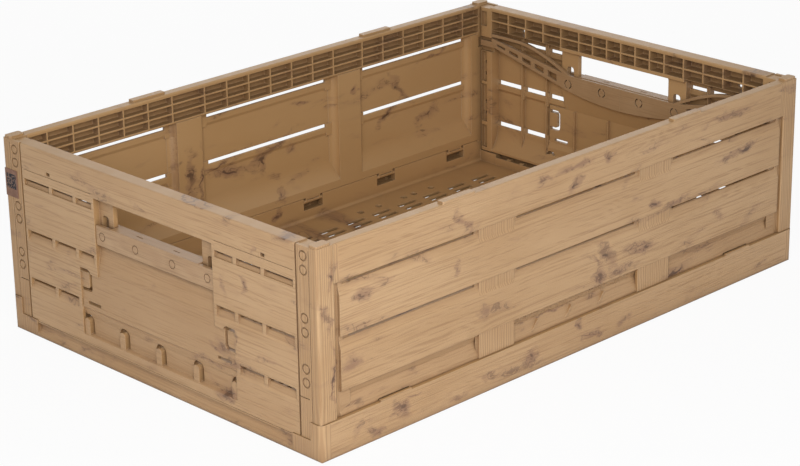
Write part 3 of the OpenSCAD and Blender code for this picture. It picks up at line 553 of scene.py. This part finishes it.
@dataclass(frozen=True)
class BoardWalls:
    """The two long walls and the tray, with boards that run along X."""

    face: float = 198.8
    post: Area = (276.0, 301.0, 0.0, 200.0)
    stile: tuple[float, float] = (79.0, 121.0)
    gaps: tuple[tuple[float, float], ...] = ((32.0, 54.4), (88.3, 100.2), (134.2, 146.0))
    rough_patch: Area = (-78.0, 78.0, 46.0, 54.0)
    tray_face: float = 198.0
    tray_post: Area = (290.0, 301.0, 0.0, 33.0)
    tray_end: tuple[float, float] = (290.0, 166.0)

    def upright(self) -> tuple[Area, ...]:
        """Where the grain of a long wall stands upright."""
        return (self.post, *((*self.stile, *gap) for gap in self.gaps))

    def build(self) -> None:
        """Dresses the front wall, the back wall and the tray."""
        knot, stroke = Mark.KNOT, Mark.STROKE
        front = TimberPlastic(
            "front_boards", Run.ALONG_X, self.face, self.upright(), rough_patch=self.rough_patch,
            stains=(Stain(38, 167, 5, 3, 0, knot), Stain(-5, 171, 26, 3, 4), Stain(-42, 170, 9, 3),
                    Stain(13, 172, 3, 2, 0, knot, 0.8), Stain(-3, 155, 4, 2, 30, stroke),
                    Stain(-139, 158, 17, 5, -55, depth=0.8), Stain(-133, 146, 4, 4, 0, knot, 0.6),
                    Stain(-253, 128, 9, 4, -10, knot, 0.7), Stain(-264, 75, 15, 8, depth=0.75),
                    Stain(-283, 70, 1.5, 14, 0, stroke), Stain(-291, 120, 2, 7, 20, stroke),
                    Stain(-283, 152, 2, 6, 0, stroke, 0.8), Stain(-144, 120, 6, 9, 30, depth=0.6),
                    Stain(-115, 72, 7, 10, 20, depth=0.7), Stain(28, 62, 6, 4, 0, knot),
                    Stain(38, 78, 9, 3, -50, stroke), Stain(22, 76, 2, 6, 40, stroke, 0.6),
                    Stain(80, 74, 22, 6, -8), Stain(58, 60, 20, 6, -5, depth=0.8),
                    Stain(90, 74, 7, 3, 0, knot, 0.8), Stain(101, 109, 4, 4, 0, knot, 0.9),
                    Stain(127, 104, 20, 2.5, 8, depth=0.8), Stain(205, 127, 24, 4, 6, depth=0.8),
                    Stain(222, 129, 12, 1.6, 8, stroke, 0.8), Stain(200, 166, 34, 3, 2, depth=0.8),
                    Stain(205, 165, 13, 1.5, 0, stroke, 0.7), Stain(190, 76, 10, 9, depth=0.4),
                    Stain(132, 36, 11, 2, 5, stroke), Stain(-30, 46, 30, 2, 0, depth=0.6)))
        back = TimberPlastic(
            "back_boards", Run.ALONG_X, self.face, self.upright(), seed=4.7,
            stains=(Stain(-102, 90, 2.5, 14, 0, stroke), Stain(-87, 85, 1.5, 18, 0, stroke, 0.8),
                    Stain(-52, 84, 24, 6, -6), Stain(-48, 84, 20, 2, -12, stroke, 0.8),
                    Stain(-65, 92, 22, 1.6, 12, stroke, 0.7), Stain(0, 90, 18, 2, 22, stroke),
                    Stain(-10, 84, 3, 7, 20, stroke, 0.8), Stain(28, 88, 10, 7, depth=0.5),
                    Stain(6, 62, 10, 4, -20, depth=0.8), Stain(10, 44, 7, 6, 40, depth=0.9),
                    Stain(8, 45, 5, 2, 40, stroke, 0.7), Stain(45, 130, 14, 3, -10, depth=0.6),
                    Stain(110, 130, 3, 4, 0, knot, 0.7), Stain(178, 112, 12, 2.2, -48, stroke, 0.9),
                    Stain(160, 92, 10, 2.6, 35, stroke), Stain(215, 76, 14, 6, 8),
                    Stain(214, 77, 9, 2, 30, stroke, 0.8), Stain(225, 138, 28, 3, 10, depth=0.6),
                    Stain(20, 164, 16, 6, depth=0.7), Stain(-118, 106, 9, 3, 30, depth=0.7)))
        tray = TimberPlastic(
            "tray", Run.ALONG_X, self.tray_face, (self.tray_post,), seed=9.1, end=self.tray_end,
            stains=(Stain(-243, 10, 10, 4, -20, depth=0.9), Stain(-212, 18, 8, 6, -30, knot, 0.9),
                    Stain(-150, 8, 18, 3, 5, depth=0.6), Stain(-110, 14, 8, 5, depth=0.7),
                    Stain(-62, 15, 8, 6, 0, knot, 0.8), Stain(0, 26, 3, 5, 0, knot, 0.7),
                    Stain(16, 12, 16, 7, depth=0.55), Stain(62, 12, 14, 5, depth=0.7),
                    Stain(-200, 27, 12, 2, depth=0.6)))
        dress("long_wall_front", front.make())
        dress("long_wall_back", back.make())
        dress("base_tray", tray.make())


@dataclass(frozen=True)
class EndWalls:
    """The two end walls, with boards that run along Y."""

    face: float = 299.0
    tan: Colour = (0.490, 0.302, 0.155)
    light: Colour = (0.552, 0.355, 0.192)
    seeds: tuple[tuple[str, float], ...] = (("left", 2.3), ("right", 6.1))

    def build(self) -> None:
        """Dresses both end walls."""
        stains = (Stain(-84, 64, 16, 9, 15, depth=0.6), Stain(-92, 52, 20, 5, -20, depth=0.7),
                  Stain(-87, 22, 9, 4, -15, Mark.KNOT, 0.8), Stain(-62, 46, 22, 5, 0, depth=0.6),
                  Stain(-88, 118, 8, 12, depth=0.45), Stain(-113, 126, 4, 5, 0, Mark.KNOT, 0.5),
                  Stain(-138, 68, 22, 3, -8, depth=0.5), Stain(-125, 158, 6, 8, depth=0.4),
                  Stain(-160, 178, 7, 1.8, -18, Mark.STROKE, 0.7),
                  Stain(14, 157, 9, 2.5, 15, depth=0.5), Stain(-100, 78, 3, 12, 0, depth=0.5),
                  Stain(-75, 60, 12, 3, 20, depth=0.7))
        for side, seed in self.seeds:
            finish = TimberPlastic(f"end_boards_{side}", Run.ALONG_Y, self.face, seed=seed,
                                   stains=stains, tan=self.tan, light=self.light)
            dress(f"end_wall_{side}", finish.make())


@dataclass(frozen=True)
class LiftLock:
    """The lift lock of one end wall: its grip cover and its spring bow.

    From the crate's middle, the bow moves with the cover up to lifted_y, stays with the
    end wall beyond still_y, and bends in between, where it is cut every cut_pitch.
    """

    side: str
    material: bpy.types.Material
    still_y: float = 170.0
    lifted_y: float = 72.0
    cut_pitch: float = 8.0
    weld: float = 0.01

    def half_bow(self, name: str, sign: int) -> bpy.types.Object:
        """Makes one half of the spring bow from its CAD node, cut across for bending.

        Args:
            name: The new piece's name.
            sign: 1 for the half towards +Y, -1 for the other.

        Returns:
            The finished half.
        """
        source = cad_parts[f"spring_bow_{self.side}"]
        piece = bpy.data.objects.new(name, source.data.copy())
        bpy.context.scene.collection.objects.link(piece)
        select_only(piece)
        bpy.ops.object.mode_set(mode="EDIT")
        bpy.ops.mesh.select_all(action="SELECT")
        bpy.ops.mesh.remove_doubles(threshold=self.weld * MM)
        bpy.ops.mesh.bisect(plane_co=(0, 0, 0), plane_no=(0, sign, 0), use_fill=True,
                            clear_inner=True, clear_outer=False)
        steps = int((self.still_y - self.lifted_y) / self.cut_pitch)
        for k in range(steps + 1):
            bpy.ops.mesh.select_all(action="SELECT")
            y = sign * (self.lifted_y + k * self.cut_pitch) * MM
            bpy.ops.mesh.bisect(plane_co=(0, y, 0), plane_no=(0, 1, 0), use_fill=False)
        bpy.ops.mesh.select_all(action="SELECT")
        bpy.ops.mesh.normals_make_consistent(inside=False)
        bpy.ops.object.mode_set(mode="OBJECT")
        return piece

    def build(self) -> None:
        """Dresses the cover and builds both halves of the bow."""
        dress(f"grip_cover_{self.side}", self.material)
        for end, sign in (("near", -1), ("far", 1)):
            piece = self.half_bow(f"bow_{self.side}_{end}", sign)
            piece.data.materials.clear()
            piece.data.materials.append(self.material)
            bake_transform(piece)
            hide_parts(f"spring_bow_{self.side}")
            log.info("built %s", piece.name)


@dataclass(frozen=True)
class Lamp:
    """A square lamp: its name, its place and side in metres, and its power in watts."""

    name: str
    place: Point
    side: float
    power: float


@dataclass(frozen=True)
class Studio:
    """Pale floor, soft light and the camera.

    eye is the camera's place in millimetres, and its three angles are in degrees. horizon
    and zenith are the strength of the light from the sides and from above. floor_white
    is how far the camera sees the floor as plain white. Clip distances, the floor's side
    and the place that the lamps face are in metres.
    """

    eye: Point = (-1445.86, -1466.80, 837.95)
    azimuth: float = -44.258
    elevation: float = 20.734
    roll: float = -0.932
    lens: float = 109.54
    sensor: float = 36.0
    clip: tuple[float, float] = (0.05, 60.0)
    horizon: float = 0.53
    zenith: float = 0.29
    floor_side: float = 24.0
    floor_white: float = 0.93
    middle: Point = (0.0, 0.0, 0.09)
    lamps: tuple[Lamp, ...] = (Lamp("key", (-1.00, -1.05, 0.80), 0.7, 16.0),
                               Lamp("fill", (1.25, 1.30, 1.00), 1.2, 7.0))

    def camera(self) -> None:
        """Makes the camera and gives it to the scene."""
        data = bpy.data.cameras.new("camera")
        data.sensor_width, data.lens = self.sensor, self.lens
        data.clip_start, data.clip_end = self.clip
        made = bpy.data.objects.new("camera", data)
        bpy.context.scene.collection.objects.link(made)
        az, el, roll = (math.radians(a) for a in (self.azimuth, self.elevation, self.roll))
        ahead = Vector((-math.sin(az) * math.cos(el), math.cos(az) * math.cos(el), -math.sin(el)))
        level = Vector((math.cos(az), math.sin(az), 0))
        over = level.cross(ahead)
        right = math.cos(roll) * level + math.sin(roll) * over
        up = -math.sin(roll) * level + math.cos(roll) * over
        turn = Matrix((right, up, -ahead)).transposed().to_4x4()
        made.matrix_world = Matrix.Translation(Vector(self.eye) * MM) @ turn
        bpy.context.scene.camera = made

    def floor(self) -> None:
        """Makes the pale floor, which shows nearly white and keeps the shadow."""
        bpy.ops.mesh.primitive_plane_add(size=self.floor_side, location=(0, 0, 0))
        floor = bpy.context.object
        floor.name = "floor"
        g = Graph.material("pale_floor")
        x, y, _ = g.place()
        spread = g.noise(g.vector(x / 900, y / 900, 0.0), 2.0)
        colour = g.mix(spread, (0.82, 0.82, 0.82, 1), (0.86, 0.86, 0.86, 1))
        lit = g.node("ShaderNodeBsdfDiffuse", {"Color": colour})
        white = g.node("ShaderNodeEmission", {"Color": (1, 1, 1, 1), "Strength": 1.0})
        path = g.node("ShaderNodeLightPath")
        seen = Field(g, path.outputs["Is Camera Ray"])
        shown = g.node("ShaderNodeMixShader", {0: seen * self.floor_white, 1: lit.outputs[0],
                                               2: white.outputs[0]})
        g.node("ShaderNodeOutputMaterial", {0: shown.outputs[0]})
        floor.data.materials.append(g.owner)

    def world(self) -> None:
        """Makes the white surroundings, which are brighter at the sides than above."""
        g = Graph(bpy.data.worlds.new("surroundings"))
        bpy.context.scene.world = g.owner
        way = g.node("ShaderNodeTexCoord").outputs["Generated"]
        height = Field(g, g.node("ShaderNodeSeparateXYZ", {0: way}).outputs[2])
        path = g.node("ShaderNodeLightPath")
        seen = Field(g, path.outputs["Is Camera Ray"])
        light = height.step(0.1, 1.0) * (self.zenith - self.horizon) + self.horizon
        back = g.node("ShaderNodeBackground", {"Color": (1, 1, 1, 1),
                                               "Strength": light * (1 - seen) + seen})
        g.node("ShaderNodeOutputWorld", {0: back.outputs[0]})

    def add_lamp(self, lamp: Lamp) -> None:
        """Adds a lamp that faces the crate's middle.

        Args:
            lamp: The lamp.
        """
        data = bpy.data.lights.new(lamp.name, "AREA")
        data.size, data.energy = lamp.side, lamp.power
        made = bpy.data.objects.new(lamp.name, data)
        bpy.context.scene.collection.objects.link(made)
        place = Vector(lamp.place)
        turn = (place - Vector(self.middle)).to_track_quat("Z", "Y").to_matrix().to_4x4()
        made.matrix_world = Matrix.Translation(place) @ turn

    def build(self) -> None:
        """Sets up the camera, the floor and the light."""
        bpy.context.scene.view_settings.view_transform = "Standard"
        self.camera()
        self.floor()
        self.world()
        for lamp in self.lamps:
            self.add_lamp(lamp)
        log.info("studio is ready")


def main() -> None:
    """Builds the studio and dresses the crate, piece by piece."""
    logging.basicConfig(level=logging.INFO, format="%(name)s: %(message)s")
    bpy.ops.object.select_all(action="DESELECT")
    Studio().build()
    BoardWalls().build()
    EndWalls().build()
    lock = LockPlastic("lock_plastic").make()
    for side in ("left", "right"):
        LiftLock(side, lock).build()
    dress("data_label", LabelFilm("label_film").make())


if __name__ == "__main__":
    main()
